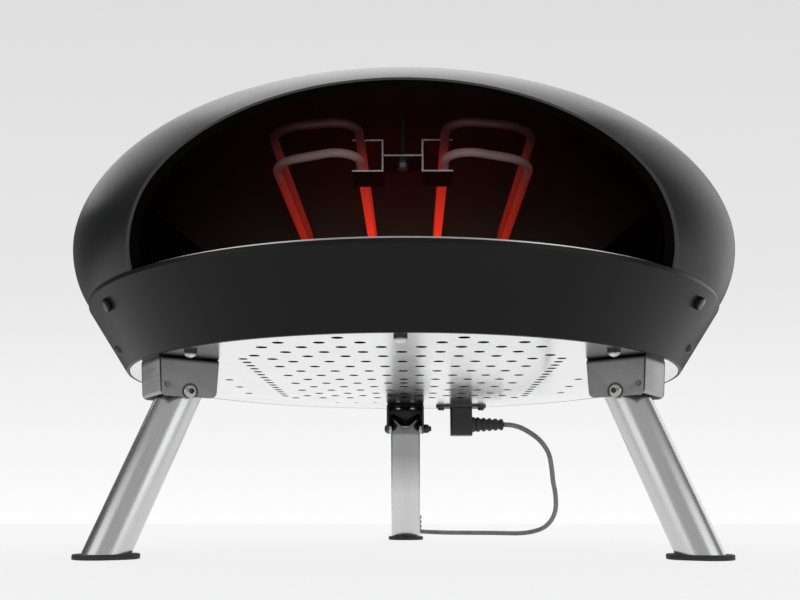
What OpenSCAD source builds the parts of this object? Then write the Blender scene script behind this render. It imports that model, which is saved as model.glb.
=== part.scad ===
// Domed electric pizza oven on three folding tube legs, with its lead and plug.
// Millimetres. Z is up, the mouth faces -Y and the feet stand on Z = 0.

/* [Dome] */
// Largest outside radius of the dome
dome_r = 311; // [308:1:314]
// Height of the dome's widest line above the floor
dome_z = 268; // [265:1:271]
// Rise of the crown above the widest line
dome_rise = 147; // [140:1:154]
// Thickness of the outer dome's sheet
dome_sheet = 1.5; // [1:0.1:1.8]
// Depth from the dome's outside to the back of the inner liner
dome_wall = 6; // [5.8:0.1:6.6]

/* [Mouth] */
// Radius of the arc that the mouth's edge follows, seen from the side
mouth_r = 249; // [245:1:253]
// Distance from the body's axis to the arc's centre, positive to the front
mouth_y = 24; // [20:1:28]
// Height of the arc's centre
mouth_z = 385; // [380:1:390]

/* [Skirt and base] */
// Outside radius of the skirt's top, where the dome meets it
seam_r = 294; // [292:1:296]
// Height of the seam between skirt and dome
seam_z = 216; // [214:1:218]
// Outside radius of the skirt's bottom edge
base_r = 258; // [256:1:260]
// Height of the skirt's bottom edge and of the perforated plate's underside
base_z = 158; // [156:1:160]
// Height of the skirt's upright top band
band_h = 3.5; // [3:0.5:5]
// Thickness of the skirt's sheet
skirt_sheet = 1.5; // [1:0.1:1.6]

/* [Perforated plate] */
// Diameter of the perforations
hole_d = 9; // [6:0.5:9]
// Diameter of the holes in the close rows at the sides
side_hole_d = 8; // [6:0.5:9]
// Distance between neighbouring perforations
hole_pitch = 30.5; // [29.5:0.5:31]

/* [Cavity] */
// Radius of the cavity's round back
cavity_r = 170; // [168:1:174]
// Half the cavity's width at the mouth
cavity_mouth = 199; // [196:1:200]
// Height of the ledge on top of the cavity's side wall
ledge_z = 264; // [260:1:266]
// Radius of the baking stone
stone_r = 162; // [150:1:164]
// Thickness of the baking stone
stone_h = 12; // [10:1:14]

/* [Heaters] */
// Diameter of the ceiling heaters' tubes
heater_d = 8; // [6.5:0.5:8]
// Height of the lower pair of ceiling heaters
heater_low_z = 342; // [340:1:344]
// Height of the upper pair of ceiling heaters
heater_high_z = 362; // [360:1:364]
// Distance from the middle plane to a heater's inner run
heater_in = 38; // [36:1:40]
// Distance from the middle plane to a heater's outer run
heater_out = 116; // [112:1:118]

/* [Legs] */
// Angle of the two front legs from the front
leg_angle = 55; // [53:1:57]
// Outside diameter of the leg tubes
leg_d = 35; // [32:1:35]
// Wall of the leg tubes
leg_wall = 1.5; // [1:0.1:2]
// Splay of the open legs from upright
leg_splay = 22.5; // [21.5:0.5:23]
// Distance from the body's axis to the pivots
pivot_r = 225; // [224:0.5:226]
// Height of the pivots
pivot_z = 130.5; // [129:0.5:131]
// Diameter of the pivot bolts
pivot_d = 6; // [6:1:8]
// Outside width of a leg bracket
bracket_w = 44; // [43:1:46]

/* [Lead] */
// Diameter of the lead
cord_d = 6; // [5:0.5:6]
// Number of loops in the tied hank
hank_loops = 4; // [3:1:4]
// Straight length of the hank's runs
hank_run = 100; // [90:1:110]

/* [Hidden] */
$fn = 96;

// The body's axis lies behind the middle of the footprint, because the mouth cuts the dome's front off.
axis_y = -(dome_r - seam_r) / 2;

// The dome's outline: a round lower edge up to the widest line, then a flattened crown.
crown_side = 2 / 2.58;
crown_top = 2 / 1.82;
edge_r = (pow(dome_r - seam_r, 2) + pow(dome_z - seam_z, 2)) / (2 * (dome_r - seam_r));
edge_angle = asin((dome_z - seam_z) / edge_r);

// Slope of the skirt's cone
cone_top_z = seam_z - band_h;
cone_slope = (seam_r - base_r) / (cone_top_z - base_z);
cone_tilt = atan(cone_slope);
cone_wall = skirt_sheet / cos(cone_tilt);

// Heights of the base's layers
plate_t = 1.2;
flange_z = base_z + plate_t + 0.2;
flange_t = 1.5;
flange_in = 236;
shield_z = 184;
base_wool_h = 16;
frame_t = 1.5;
gasket_h = 2;
tray_z = seam_z + gasket_h;
tray_t = 1.2;
tray_r = 287;
rest_h = 3.8;
stone_z = tray_z + tray_t + rest_h + 0.05;
stone_gap = 0.05;

// Places of the fasteners, as angles from the front
plate_bolt_r = 245;
plate_bolt_angles = [0, 42.3, -42.3, 90, -90];
skirt_bolt_z = 201;
skirt_bolt_angles = [57, -57, 115, -115, 160, -160];
skirt_screw_z = 172;
skirt_screw_angles = [67, -67, 110, -110, 155, -155];
m6_r = 3;
m6_hole_r = 3.2;
m5_r = 2.5;
m5_hole_r = 2.7;
slot_x = [-79, -57, -35];
terminal_x = [-82, -60, -38];
terminal_y = 189;

// Ceiling heaters: where their runs turn down at the back, and how far forward the loops reach
heater_bends = [18, 21, 38, 18];
low_back_y = 184;
high_back_y = 200;
low_front = [-141, -107];
high_front = [-154, -138];
heater_end_z = 206;

// Heater bracket: two channels that face outwards, joined by a bar
channel_web_x = 19;
channel_reach = 27;
channel_front_y = -98;
channel_depth = 41;
bracket_t = 1.5;

// Inlet and connector
inlet_x = 67;
inlet_y = 226;
inlet_flange = [60, 24, 2.5];
inlet_screw_x = 24;
connector = [26, 22];
connector_bottom = 122.5;
boot_end = [118, inlet_y, 135.5];

// Leg brackets
bracket_t2 = 2;
bracket_in = 201;
bracket_out = 252;
bracket_h = 32;
bracket_bottom_in = 202;
bracket_bottom_out = 249.4;
bracket_fold = 3.5;
stop_d = 4;
bracket_bolts_at = [[222, -9.3], [222, 9.3]];
leg_top = 16;
sleeve_r = 6;
leg_angles = [-leg_angle, leg_angle, 180];
head_sides = [1, -1, 1];

// The lead's free stretch, from the connector's boot down to the floor and along it to the hank
cord_route = [
    boot_end, [130, 228, 134.6], [144, 233, 130], [162, 243, 119], [175, 257, 103.5],
    [181, 275, 85], [184.5, 291, 70.5], [190, 312, 55], [193.5, 337, 37], [192, 364, 23],
    [185, 391, 12], [172, 417, 5.8], [155, 437, 3.2], [133, 452, 3.1], [109, 462, 3.1],
    [84, 468, 3.1], [60, 471, 3.2], [41, 475, 3.6], [26, 484, 4], [19.5, 500, 4.2],
    [19, 521, 4.2]
];

// The hank lies straight behind the rear leg. Its loops pile up one on the other.
hank_x = 1;
hank_y = 521;
hank_fold = 18;
hank_waist = 9;
hank_step = 0.65;
hank_base_z = 4.2;
hank_rise = cord_d + hank_step;
hank_top_z = hank_base_z + hank_loops * hank_rise;
plug_y = 435;
plug_r = 18;
tail_route = [
    [hank_x - hank_fold, hank_y, hank_top_z], [-17, 510, hank_top_z + 0.1],
    [-16.6, 497, hank_top_z - 0.3], [-14, 483, hank_top_z - 2.4], [-9.5, 470, 24.5],
    [-4.5, 457, 21], [-1, 446, 18.8], [0, plug_y, plug_r]
];

// Helpers

function unit(v) = v / norm(v);
function turned(list) = [for (i = [len(list) - 1:-1:0]) list[i]];
function arc(centre, r, from, to, steps) =
    [for (i = [0:steps]) let(a = from + (to - from) * i / steps)
        centre + r * [cos(a), sin(a)]];
function onto(o, w) =
    let(
        s = abs(w.z) > 0.9 ? [1, 0, 0] : [0, 0, 1],
        u = unit(cross(s, w)),
        v = cross(w, u)
    )
    [[u.x, v.x, w.x, o.x], [u.y, v.y, w.y, o.y], [u.z, v.z, w.z, o.z], [0, 0, 0, 1]];

// Puts children at an angle from the front, their +X pointing outwards
module at_angle(angle) rotate([0, 0, angle - 90]) children();

module placed() translate([0, axis_y, 0]) children();

module rod(from, to, d)
    multmatrix(onto(from, unit(to - from))) cylinder(d = d, h = norm(to - from), $fn = 32);

// A round bar bent at each inner point, with one bend radius or one for each bend.
// Each bend reaches a little way into the runs beside it.
module bent_rod(points, d, bend) {
    lap = 1.5;
    n = len(points);
    bends = is_list(bend) ? bend : [for (i = [1:n - 2]) bend];
    dirs = [for (i = [0:n - 2]) unit(points[i + 1] - points[i])];
    turns = [for (i = [1:n - 2]) acos(dirs[i - 1] * dirs[i])];
    cuts = [for (i = [0:n - 1])
        i == 0 || i == n - 1 ? 0 : bends[i - 1] * tan(turns[i - 1] / 2)];
    for (i = [0:n - 2])
        rod(points[i] + dirs[i] * cuts[i], points[i + 1] - dirs[i] * cuts[i + 1], d);
    for (i = [1:n - 2]) {
        a = dirs[i - 1];
        b = dirs[i];
        centre = points[i] + unit(b - a) * bends[i - 1] / cos(turns[i - 1] / 2);
        e1 = unit(points[i] - a * cuts[i] - centre);
        e3 = cross(e1, a);
        multmatrix([
            [e1.x, a.x, e3.x, centre.x], [e1.y, a.y, e3.y, centre.y],
            [e1.z, a.z, e3.z, centre.z], [0, 0, 0, 1]
        ])
            rotate([0, 0, -lap]) rotate_extrude(angle = turns[i - 1] + 2 * lap)
                translate([bends[i - 1], 0]) circle(d = d - 0.1, $fn = 32);
    }
}

module hexagon(across, h) cylinder(d = across / cos(30), h = h, $fn = 6);

// A rectangle with rounded corners, as an outline
function rounded(size, r) = concat(
    arc([size.x / 2 - r, size.y / 2 - r], r, 0, 90, 6),
    arc([-size.x / 2 + r, size.y / 2 - r], r, 90, 180, 6),
    arc([-size.x / 2 + r, -size.y / 2 + r], r, 180, 270, 6),
    arc([size.x / 2 - r, -size.y / 2 + r], r, 270, 360, 6)
);

// A tube of flat facets swept along points, its ends square to the first and last stretch
module swept_tube(points, d, sides) {
    n = len(points);
    dirs = [for (i = [0:n - 1])
        unit(points[min(i + 1, n - 1)] - points[max(i - 1, 0)])];
    rings = [for (i = [0:n - 1])
        let(w = dirs[i], u = unit(cross([0, 0, 1], w)), v = cross(w, u))
        for (k = [0:sides - 1]) let(a = 360 * (k + 0.5) / sides)
            points[i] + d / 2 * (cos(a) * u + sin(a) * v)];
    walls = [for (i = [0:n - 2]) for (k = [0:sides - 1])
        let(j = (k + 1) % sides, lo = i * sides, hi = lo + sides)
        for (t = [[lo + k, hi + j, lo + j], [lo + k, hi + k, hi + j]]) t];
    first = [for (k = [1:sides - 2]) [0, k, k + 1]];
    last = [for (k = [1:sides - 2])
        let(b = (n - 1) * sides) [b, b + k + 1, b + k]];
    polyhedron(rings, concat(walls, first, last));
}

// Points of a smooth curve through the route's own points
function curve_point(p, i, t) =
    let(
        n = len(p),
        a = p[max(i - 1, 0)], b = p[i], c = p[min(i + 1, n - 1)], d = p[min(i + 2, n - 1)]
    )
    0.5 * ((2 * b) + (c - a) * t + (2 * a - 5 * b + 4 * c - d) * t * t
        + (3 * b - a - 3 * c + d) * t * t * t);
function smooth(p, steps) = concat(
    [for (i = [0:len(p) - 2]) for (k = [0:steps - 1]) curve_point(p, i, k / steps)],
    [p[len(p) - 1]]
);

// Dome

function dome_outline(depth) = concat(
    [for (i = [0:6]) let(a = -edge_angle * (1 - i / 6))
        [dome_r - edge_r + (edge_r - depth) * cos(a), dome_z + (edge_r - depth) * sin(a)]],
    [for (i = [1:26]) let(a = 90 * i / 26)
        [(dome_r - depth) * pow(cos(a), crown_side),
            dome_z + (dome_rise - depth) * pow(sin(a), crown_top)]]
);

// Outline of the space inside the dome's wall, closed along the axis
function dome_inside() = concat(
    [[0, dome_outline(dome_wall + 0.3)[0].y]], dome_outline(dome_wall + 0.3)
);

module dome_layer(from, to)
    rotate_extrude()
        polygon(concat(dome_outline(from), turned(dome_outline(to))));

module mouth_drum(back)
    translate([0, -mouth_y, mouth_z]) rotate([0, 90, 0])
        cylinder(r = mouth_r - back, h = 2.4 * dome_r, center = true, $fn = 180);

// Everything behind the mouth's edge, which follows an arc in side view
module behind_mouth(back) {
    mouth_drum(back);
    translate([-1.2 * dome_r, -mouth_y, 0]) cube([2.4 * dome_r, 1.4 * dome_r, 500]);
}

module outer_dome()
    color("#2f3032")
        intersection() {
            dome_layer(0, dome_sheet);
            behind_mouth(0);
        }

// Black channel that closes the gap between the two skins all round the mouth
module mouth_frame()
    color("#101011")
        intersection() {
            dome_layer(dome_sheet + 0.2, dome_wall + 0.4);
            difference() {
                mouth_drum(0.5);
                mouth_drum(2.5);
                translate([-1.2 * dome_r, -mouth_y, 0]) cube([2.4 * dome_r, dome_r, 500]);
            }
        }

module dome_insulation()
    color("#d8d2c4")
        intersection() {
            dome_layer(dome_sheet + 0.3, dome_wall - 1.2);
            behind_mouth(3);
            translate([0, 0, 228]) cylinder(r = dome_r + 5, h = 200);
        }

module ceiling_liner()
    color("#241312")
        intersection() {
            dome_layer(dome_wall - 1, dome_wall);
            behind_mouth(3);
            translate([0, 0, ledge_z + 1.5]) cylinder(r = dome_r + 5, h = 200);
        }

// Plan of the cavity: round at the back, opening out to the mouth
module cavity_plan(grow) {
    side = cavity_r + grow;
    front = cavity_mouth + grow;
    circle(r = side, $fn = 180);
    polygon([[-side, 0], [side, 0], [front, -250], [-front, -250]]);
}

module heater_passages(z, h, r)
    for (side = [-1, 1], x = [heater_in, heater_out], y = [low_back_y, high_back_y])
        translate([side * x, y, z]) cylinder(r = r, h = h, $fn = 48);

module cavity_wall()
    color("#0f0f11")
        difference() {
            intersection() {
                union() {
                    translate([0, 0, tray_z + tray_t + 0.3])
                        linear_extrude(ledge_z - tray_z - tray_t + 0.7) difference() {
                            cavity_plan(1.2);
                            cavity_plan(0);
                        }
                    translate([0, 0, ledge_z]) linear_extrude(1.2) difference() {
                        circle(r = dome_r - dome_wall - 1, $fn = 180);
                        cavity_plan(0);
                    }
                }
                behind_mouth(3);
                rotate_extrude() polygon(dome_inside());
            }
            heater_passages(ledge_z - 2, 6, heater_d / 2 + 0.5);
        }

// Skirt, floor and the rings that join them

// Ring sector between two angles from the front
module ring_sector(from, to)
    rotate([0, 0, from - 90]) rotate_extrude(angle = to - from, $fn = 180) children();

module joining_ring()
    color("#8d8f92")
        ring_sector(46, 314)
            translate([seam_r - 3.2, cone_top_z + 0.7]) square([1.4, 17.3]);

module floor_frame()
    color("#8d8f92")
        rotate_extrude($fn = 180) {
            translate([seam_r - 5, cone_top_z + 0.6]) square([1.4, band_h - 0.6]);
            translate([276, seam_z - frame_t]) square([seam_r - 3.6 - 276, frame_t]);
        }

module tray_gasket()
    color("#141414")
        rotate_extrude($fn = 180) translate([277, seam_z]) square([9, gasket_h]);

module floor_tray()
    color("#c9cacc")
        difference() {
            translate([0, 0, tray_z]) cylinder(r = tray_r, h = tray_t, $fn = 180);
            heater_passages(tray_z - 1, 4, heater_d / 2 + 0.5);
        }

function cone_r(z) = base_r + cone_slope * (z - base_z);
function cone_in(z) = cone_r(z) - cone_wall;

// Puts children on the skirt's cone, their +Z square to it and outwards
module on_skirt(angle, z)
    at_angle(angle) translate([cone_r(z), 0, z]) rotate([0, 90 + cone_tilt, 0]) children();

module skirt_bores() {
    for (a = skirt_bolt_angles)
        on_skirt(a, skirt_bolt_z) translate([0, 0, -12]) cylinder(r = m6_hole_r, h = 16);
    for (a = skirt_screw_angles)
        on_skirt(a, skirt_screw_z) translate([0, 0, -9]) cylinder(r = m5_hole_r, h = 12);
}

module skirt()
    color("#3a3b3d")
        difference() {
            union() {
                rotate_extrude($fn = 180) polygon([
                    [base_r, base_z], [seam_r, cone_top_z], [seam_r, seam_z],
                    [seam_r - skirt_sheet, seam_z], [seam_r - skirt_sheet, cone_top_z + 0.4],
                    [cone_in(flange_z + flange_t), flange_z + flange_t],
                    [flange_in, flange_z + flange_t], [flange_in, flange_z],
                    [cone_in(flange_z), flange_z], [base_r - cone_wall, base_z]
                ]);
                ring_sector(-44, 44)
                    translate([seam_r - 3.3, seam_z - 1.4]) square([2.4, 1.4]);
            }
            skirt_bores();
            for (a = plate_bolt_angles)
                at_angle(a) translate([plate_bolt_r, 0, base_z]) cylinder(r = m6_hole_r, h = 6);
            intersection() {
                translate([inlet_x, inlet_y, flange_z]) {
                    translate([-17, -30, -0.1]) cube([34, 43, flange_t + 0.2]);
                    for (s = [-1, 1]) translate([s * inlet_screw_x, 0, -0.1])
                        cylinder(r = 2, h = flange_t + 0.2, $fn = 24);
                }
                cylinder(r = 254, h = 300);
            }
        }

// Tabs under the floor frame that the skirt's hex bolts go into
module skirt_tabs()
    color("#8d8f92")
        difference() {
            for (a = skirt_bolt_angles)
                ring_sector(a - 2, a + 2) polygon([
                    [cone_in(196) - 0.3, 196], [cone_in(203.5) - 0.3, 203.5],
                    [cone_in(203.5) - 0.3, seam_z - frame_t],
                    [cone_in(203.5) - 2.3, seam_z - frame_t],
                    [cone_in(203.5) - 2.3, 204.3], [cone_in(196) - 2.6, 196.6]
                ]);
            skirt_bores();
        }

module skirt_bolts()
    color("#161617")
        for (a = skirt_bolt_angles)
            on_skirt(a, skirt_bolt_z) {
                hexagon(10, 4);
                translate([0, 0, -10]) cylinder(r = m6_r, h = 10.01, $fn = 32);
            }

module skirt_screws()
    color("#161617")
        for (a = skirt_screw_angles)
            on_skirt(a, skirt_screw_z) {
                rotate_extrude($fn = 32) polygon(concat(
                    [[0, 0], [4.6, 0]], arc([0, -2.2], 5.1, 25.5, 90, 6)
                ));
                translate([0, 0, -7]) cylinder(r = m5_r, h = 7.01, $fn = 32);
            }

// Perforated plate under the base

// Each row: its distance behind the axis, its first hole beside the middle, its holes a side
function main_row(k) =
    [-125 + hole_pitch * 0.91 * k, k % 2 == 0 ? hole_pitch : hole_pitch / 2, k % 2 == 0 ? 3 : 4];
plate_rows = concat(
    [[-237, 1.5 * hole_pitch, 1], [-217, hole_pitch, 3], [-197, hole_pitch / 2, 4]],
    [[-174, hole_pitch, 3], [-153, hole_pitch / 2, 3]],
    [for (k = [0:8]) main_row(k)],
    [[119, hole_pitch / 2, 4], [139, hole_pitch, 4]]
);
middle_holes = [-174, for (k = [0:2:8]) main_row(k)[0], 13, 139];

module perforations() {
    for (row = plate_rows, side = [-1, 1], i = [0:row[2] - 1])
        translate([side * (row[1] + hole_pitch * i), row[0]]) circle(d = hole_d, $fn = 24);
    for (y = middle_holes) translate([0, y]) circle(d = hole_d, $fn = 24);
    for (side = [-1, 1]) {
        translate([side * 119, -157]) circle(d = hole_d, $fn = 24);
        translate([side * 107, -139]) circle(d = hole_d, $fn = 24);
        for (k = [0:14]) translate([side * 131, -140 + 18.6 * k]) circle(d = side_hole_d, $fn = 24);
        for (k = [0:2]) translate([side * 167, -12 + 54 * k]) circle(d = side_hole_d, $fn = 24);
    }
    for (x = slot_x) translate([x, 188]) rotate(-50) polygon(rounded([8, 2.2], 1.05));
}

module bottom_plate()
    color("#d3d4d6")
        translate([0, 0, base_z]) linear_extrude(plate_t) difference() {
            circle(r = base_r - 2.6, $fn = 180);
            perforations();
            for (a = plate_bolt_angles) at_angle(a) translate([plate_bolt_r, 0])
                circle(r = m6_hole_r, $fn = 24);
            for (a = leg_angles, b = bracket_bolts_at) at_angle(a) translate(b)
                circle(r = m6_hole_r, $fn = 24);
            for (s = [-1, 1]) translate([inlet_x + s * inlet_screw_x, inlet_y])
                circle(r = 1.8, $fn = 24);
            translate([inlet_x, inlet_y]) polygon(rounded([31, 23], 2));
        }

module plate_bolts()
    color("#b9babd")
        for (a = plate_bolt_angles)
            at_angle(a) translate([plate_bolt_r, 0, 0]) {
                translate([0, 0, flange_z + flange_t]) hexagon(10, 4);
                translate([0, 0, base_z - 3.8]) cylinder(r = m6_r, h = 9, $fn = 32);
            }

// Domed cap nuts
module plate_nuts()
    color("#b9babd")
        for (a = plate_bolt_angles)
            at_angle(a) translate([plate_bolt_r, 0, 0]) difference() {
                union() {
                    translate([0, 0, base_z - 3.3]) hexagon(10, 3.3);
                    translate([0, 0, base_z - 3]) rotate_extrude($fn = 32)
                        polygon(concat([[0, 0], [4.6, 0]], arc([0, 2.77], 5.37, -31, -90, 8)));
                }
                translate([0, 0, base_z - 4]) cylinder(r = m6_r + 0.02, h = 6, $fn = 32);
            }

// Baking stone and what it lies on

module baking_stone()
    color("#c8b48f")
        translate([0, 0, stone_z]) rotate_extrude($fn = 180)
            polygon([
                [0, 0], [stone_r - 1, 0], [stone_r, 1], [stone_r, stone_h - 1],
                [stone_r - 1, stone_h], [0, stone_h]
            ]);

module stone_rests()
    color("#b9babd")
        for (a = [45:90:315])
            at_angle(a) translate([125, 0, tray_z + tray_t])
                rotate_extrude($fn = 48)
                    polygon([[4, 0], [9, 0], [9, 1], [7, rest_h], [4, rest_h]]);

// Ceiling heaters

// One bent element: up from the base, forward under the ceiling, across the front and back again
module ceiling_heater(side, z, back, front)
    bent_rod([
        [side * heater_in, back, heater_end_z], [side * heater_in, back, z],
        [side * heater_in, front[0], z], [side * heater_out, front[1], z],
        [side * heater_out, back, z], [side * heater_out, back, heater_end_z]
    ], heater_d, heater_bends);

module heater_upper_left() color("#b8442c") ceiling_heater(-1, heater_high_z, high_back_y, high_front);
module heater_upper_right() color("#b8442c") ceiling_heater(1, heater_high_z, high_back_y, high_front);
module heater_lower_left() color("#b8442c") ceiling_heater(-1, heater_low_z, low_back_y, low_front);
module heater_lower_right() color("#b8442c") ceiling_heater(1, heater_low_z, low_back_y, low_front);

module heater_bracket() {
    low = heater_low_z - heater_d / 2 - 0.1;
    high = heater_high_z + heater_d / 2 + 0.1;
    middle = (low + high) / 2;
    color("#4a3a36")
        translate([0, channel_front_y, 0]) difference() {
            union() {
                for (side = [0, 1]) mirror([side, 0, 0]) {
                    translate([channel_web_x - bracket_t, 0, low - bracket_t])
                        cube([bracket_t, channel_depth, high - low + 2 * bracket_t]);
                    for (z = [low - bracket_t, high])
                        translate([channel_web_x - 0.01, 0, z])
                            cube([channel_reach, channel_depth, bracket_t]);
                }
                translate([-channel_web_x + 0.1, 0, middle - bracket_t / 2])
                    cube([2 * channel_web_x - 0.2, channel_depth, bracket_t]);
            }
            translate([0, channel_depth / 2, middle - 5]) cylinder(r = m6_hole_r, h = 10, $fn = 32);
        }
}

hanger_y = channel_front_y + channel_depth / 2;
hanger_bar_z = (heater_low_z + heater_high_z) / 2;

module hanger_stud()
    color("#8d8f92")
        intersection() {
            translate([0, hanger_y, hanger_bar_z - 11]) cylinder(r = m6_r, h = 80, $fn = 32);
            rotate_extrude() polygon(dome_outline(dome_wall + 0.1));
        }

module hanger_nut()
    color("#8d8f92")
        translate([0, hanger_y, hanger_bar_z - bracket_t / 2 - 5]) difference() {
            hexagon(10, 5);
            translate([0, 0, -1]) cylinder(r = m6_r + 0.02, h = 7, $fn = 32);
        }

// Heater under the cavity's floor, with its clips, insulation and shield

base_heater_r = 115;
base_heater_d = 6.5;
base_heater_z = tray_z - 1.2 - base_heater_d / 2;

module base_heater()
    color("#6b5f5a") {
        ring_sector(188, 532) translate([base_heater_r, base_heater_z])
            circle(d = base_heater_d, $fn = 32);
        for (side = [-1, 1])
            rotate([0, 0, side * 8]) rod(
                [0, base_heater_r - 0.5, base_heater_z], [0, 180, base_heater_z], base_heater_d
            );
    }

module base_heater_clips()
    color("#8d8f92")
        difference() {
            for (a = [30:60:330])
                at_angle(a) translate([base_heater_r, 0, tray_z - 4.2])
                    cube([13, 9, 8.4], center = true);
            rotate_extrude($fn = 180) translate([base_heater_r, base_heater_z])
                circle(d = base_heater_d + 0.1, $fn = 32);
        }

module wiring_gap(z, h) translate([-128, 180, z]) cube([256, 36, h]);

module base_insulation()
    color("#d8d2c4")
        difference() {
            translate([0, 0, shield_z]) cylinder(r = 262, h = base_wool_h, $fn = 180);
            wiring_gap(shield_z - 1, base_wool_h + 2);
        }

module heat_shield()
    color("#c9cacc")
        difference() {
            rotate_extrude($fn = 180) polygon([
                [0, shield_z - 1.2], [0, shield_z], [cone_in(shield_z) - 0.4, shield_z],
                [cone_in(167) - 0.4, 167], [cone_in(167) - 1.9, 167],
                [cone_in(shield_z - 1.2) - 1.9, shield_z - 1.2]
            ]);
            skirt_bores();
            for (x = [-100, 0, 100]) translate([x, 198, shield_z - 3]) cylinder(r = 8, h = 5, $fn = 32);
        }

// Electrics in the base

module terminal_block()
    color("#e6e2d8")
        difference() {
            translate([-60, terminal_y, base_z + plate_t + 0.1 + 8]) cube([66, 20, 16], center = true);
            for (x = terminal_x) {
                translate([x, terminal_y - 4, base_z + 6]) cylinder(r = 1.5, h = 12, $fn = 24);
                translate([x, terminal_y - 4, base_z + 12]) cylinder(r = 3.2, h = 6, $fn = 24);
            }
        }

module small_screw(length, head_r, head_h, r) {
    rotate_extrude($fn = 24) polygon([
        [0, 0], [head_r - 0.6, 0], [head_r, 0.6], [head_r, head_h], [0, head_h]
    ]);
    translate([0, 0, head_h - 0.01]) cylinder(r = r, h = length, $fn = 24);
}

module terminal_screws()
    color("#161617")
        for (x = terminal_x)
            translate([x, terminal_y - 4, base_z + 14.4]) mirror([0, 0, 1])
                small_screw(5, 3, 2, 1.5);

module thermostat()
    color("#c8b48f")
        translate([-130, 130, shield_z - 1.3]) {
            translate([0, 0, -9]) cylinder(r = 9, h = 9, $fn = 48);
            translate([-15, -4, -1]) cube([30, 8, 1]);
            for (s = [-1, 1]) translate([s * 4 - 0.4, -2, -15]) cube([0.8, 4, 6.1]);
        }

module thermal_cutout()
    color("#c8b48f")
        translate([0, 160, tray_z - 0.1]) {
            translate([0, 0, -8]) cylinder(r = 8, h = 8, $fn = 48);
            translate([-13, -3.5, -1]) cube([26, 7, 1]);
            for (s = [-1, 1]) translate([s * 3.5 - 0.4, -2, -13]) cube([0.8, 4, 5.1]);
        }

// Insulated wires from the inlet to the terminal block and up to the ends of the heaters
module internal_wiring()
    color("#b23a2e") {
        for (i = [0:1])
            bent_rod([
                [inlet_x - 4 + 8 * i, inlet_y - 11.2, 168 + 4 * i],
                [inlet_x - 4 + 8 * i, 205 - 5 * i, 168 + 4 * i],
                [-12, 205 - 5 * i, 168 + 4 * i], [-25.4, 193.2 - 5 * i, 168 + 4 * i]
            ], 3, 4);
        bent_rod([[100, 202, 203], [100, 202, 177], [-38, 202, 177], [-38, 190, 177]], 3, 3);
        bent_rod([[0, 195, 203], [0, 195, 180.5], [-60, 195, 180.5], [-60, 188, 180.5]], 3, 3);
        bent_rod([[-100, 198, 203], [-100, 198, 177], [-82, 198, 177], [-82, 190, 177]], 3, 3);
    }

// Socket under the plate's back, facing down, with the three pins of an appliance inlet
inlet_deep = 20;

module inlet_pins(grow)
    for (p = [[-7, 2], [0, -2], [7, 2]])
        translate([p.x - 2 - grow, p.y - 1 - grow, -4]) cube([4 + 2 * grow, 2 + 2 * grow, 19 + grow]);

module mains_inlet()
    color("#131314")
        translate([inlet_x, inlet_y, base_z]) {
            difference() {
                union() {
                    translate([0, 0, -inlet_flange.z]) linear_extrude(inlet_flange.z - 0.05)
                        polygon(rounded([inlet_flange.x, inlet_flange.y], 9));
                    translate([0, 0, -inlet_flange.z]) linear_extrude(inlet_deep + inlet_flange.z)
                        polygon(rounded([30, 22], 2));
                }
                translate([0, 0, -inlet_flange.z - 1]) linear_extrude(inlet_deep - 1)
                    polygon(rounded([25, 17], 2));
                for (s = [-1, 1]) translate([s * inlet_screw_x, 0, -5]) cylinder(r = 1.7, h = 8, $fn = 24);
            }
            translate([0, 0, inlet_deep - inlet_flange.z - 15]) inlet_pins(0);
        }

module inlet_screws()
    color("#161617")
        for (s = [-1, 1])
            translate([inlet_x + s * inlet_screw_x, inlet_y, base_z - inlet_flange.z - 2.8])
                small_screw(9, 3.8, 2.8, 1.5);

// Leg brackets: folded sheet channels that open towards the middle

module bracket_side() {
    r = 5;
    polygon(concat(
        [[bracket_in, base_z]],
        arc([bracket_bottom_in + r, base_z - bracket_h + r], r, 180, 270, 6),
        arc([bracket_bottom_out - r, base_z - bracket_h + r], r, 270, 360, 6),
        [[bracket_out, base_z]]
    ));
}

// Half a bracket's cross-section, from one lower edge round the fold to the middle
function bracket_skin(half, top, r) = concat(
    [[half, base_z - bracket_h - 2]], arc([half - r, top - r], r, 0, 90, 6),
    arc([r - half, top - r], r, 90, 180, 6), [[-half, base_z - bracket_h - 2]]
);

// Centre of the stop pin, beside the open leg's tube
stop_gap = leg_d / 2 + stop_d / 2 + 0.1;
stop_r = pivot_r + stop_gap * cos(leg_splay) + 3 * sin(leg_splay);
stop_z = pivot_z + stop_gap * sin(leg_splay) - 3 * cos(leg_splay);

module bracket() {
    half = bracket_w / 2;
    difference() {
        intersection() {
            rotate([90, 0, 0]) linear_extrude(bracket_w + 2, center = true) bracket_side();
            union() {
                translate([bracket_in - 1, 0, 0]) rotate([90, 0, 90])
                    linear_extrude(bracket_out - bracket_in + 2) polygon(concat(
                        bracket_skin(half, base_z, bracket_fold),
                        turned(bracket_skin(
                            half - bracket_t2, base_z - bracket_t2, bracket_fold - bracket_t2
                        ))
                    ));
                rotate([90, 0, 0]) linear_extrude(bracket_w - 1, center = true) polygon([
                    [bracket_out + 1, base_z - 1],
                    [bracket_bottom_out + 1, base_z - bracket_h - 1],
                    [bracket_bottom_out - bracket_t2, base_z - bracket_h - 1],
                    [bracket_out - bracket_t2, base_z - 1]
                ]);
            }
        }
        translate([pivot_r, 0, pivot_z]) rotate([90, 0, 0])
            cylinder(d = pivot_d + 0.15, h = 60, center = true);
        translate([stop_r, 0, stop_z]) rotate([90, 0, 0])
            cylinder(d = stop_d + 0.06, h = 60, center = true, $fn = 32);
        for (b = bracket_bolts_at)
            translate([b.x, b.y, base_z - 5]) cylinder(r = m6_hole_r, h = 8, $fn = 32);
    }
}

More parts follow.
